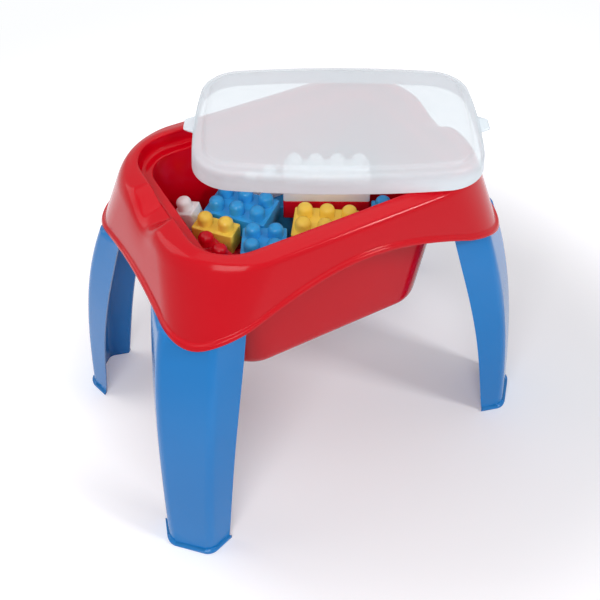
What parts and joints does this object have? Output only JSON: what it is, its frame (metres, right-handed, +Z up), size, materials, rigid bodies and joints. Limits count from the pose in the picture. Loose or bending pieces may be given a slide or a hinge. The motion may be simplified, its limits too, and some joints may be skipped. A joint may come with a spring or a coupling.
{
  "type": "building block table",
  "caption": "Child's moulded play table with a storage tub, four splayed channel legs, a loose see-through lid and studded building blocks.",
  "frame": {"origin": "on the floor under the middle of the table", "axes": "+X along the table's long side to the right, +Y away from the front, +Z up"},
  "size_m": [0.5156, 0.3544, 0.4123],
  "materials": {
    "top_plastic": "gloss",
    "leg_plastic": "gloss",
    "lid_plastic": "milky",
    "block_red": "gloss",
    "block_blue": "gloss",
    "block_yellow": "gloss",
    "block_white": "gloss"
  },
  "bodies": {
    "table": {"table_top": "top_plastic", "leg_front_left": "leg_plastic", "leg_front_right": "leg_plastic", "leg_back_left": "leg_plastic", "leg_back_right": "leg_plastic", "blue_back_standing_block": "block_blue", "blue_standing_block": "block_blue", "red_standing_block": "block_red", "white_standing_block": "block_white", "yellow_standing_block": "block_yellow", "red_long_block": "block_red"},
    "lid": {"lid": "lid_plastic"},
    "blue_double_block": {"blue_double_block": "block_blue"},
    "blue_six_stud_block": {"blue_six_stud_block": "block_blue"},
    "blue_square_block": {"blue_square_block": "block_blue"},
    "red_double_block": {"red_double_block": "block_red"},
    "white_double_block": {"white_double_block": "block_white"},
    "white_long_block": {"white_long_block": "block_white"},
    "white_single_block": {"white_single_block": "block_white"},
    "yellow_double_block": {"yellow_double_block": "block_yellow"},
    "yellow_six_stud_block": {"yellow_six_stud_block": "block_yellow"}
  },
  "joints": [
    {"name": "lid_lift", "type": "slide", "parent": "table", "child": "lid", "axis": [0, 0, 1], "range_m": [0, 0.2]},
    {"name": "blue_double_lift", "type": "slide", "parent": "table", "child": "blue_double_block", "axis": [0, 0, 1], "range_m": [0, 0.05]},
    {"name": "blue_six_stud_lift", "type": "slide", "parent": "table", "child": "blue_six_stud_block", "axis": [0, 0, 1], "range_m": [0, 0.05]},
    {"name": "blue_square_lift", "type": "slide", "parent": "table", "child": "blue_square_block", "axis": [0, 0, 1], "range_m": [0, 0.05]},
    {"name": "red_double_lift", "type": "slide", "parent": "table", "child": "red_double_block", "axis": [0, 0, 1], "range_m": [0, 0.05]},
    {"name": "white_double_lift", "type": "slide", "parent": "table", "child": "white_double_block", "axis": [0, 0, 1], "range_m": [0, 0.05]},
    {"name": "white_long_lift", "type": "slide", "parent": "table", "child": "white_long_block", "axis": [0, 0, 1], "range_m": [0, 0.03]},
    {"name": "white_single_lift", "type": "slide", "parent": "table", "child": "white_single_block", "axis": [0, 0, 1], "range_m": [0, 0.05]},
    {"name": "yellow_double_lift", "type": "slide", "parent": "table", "child": "yellow_double_block", "axis": [0, 0, 1], "range_m": [0, 0.05]},
    {"name": "yellow_six_stud_lift", "type": "slide", "parent": "table", "child": "yellow_six_stud_block", "axis": [0, 0, 1], "range_m": [0, 0.05]}
  ]
}
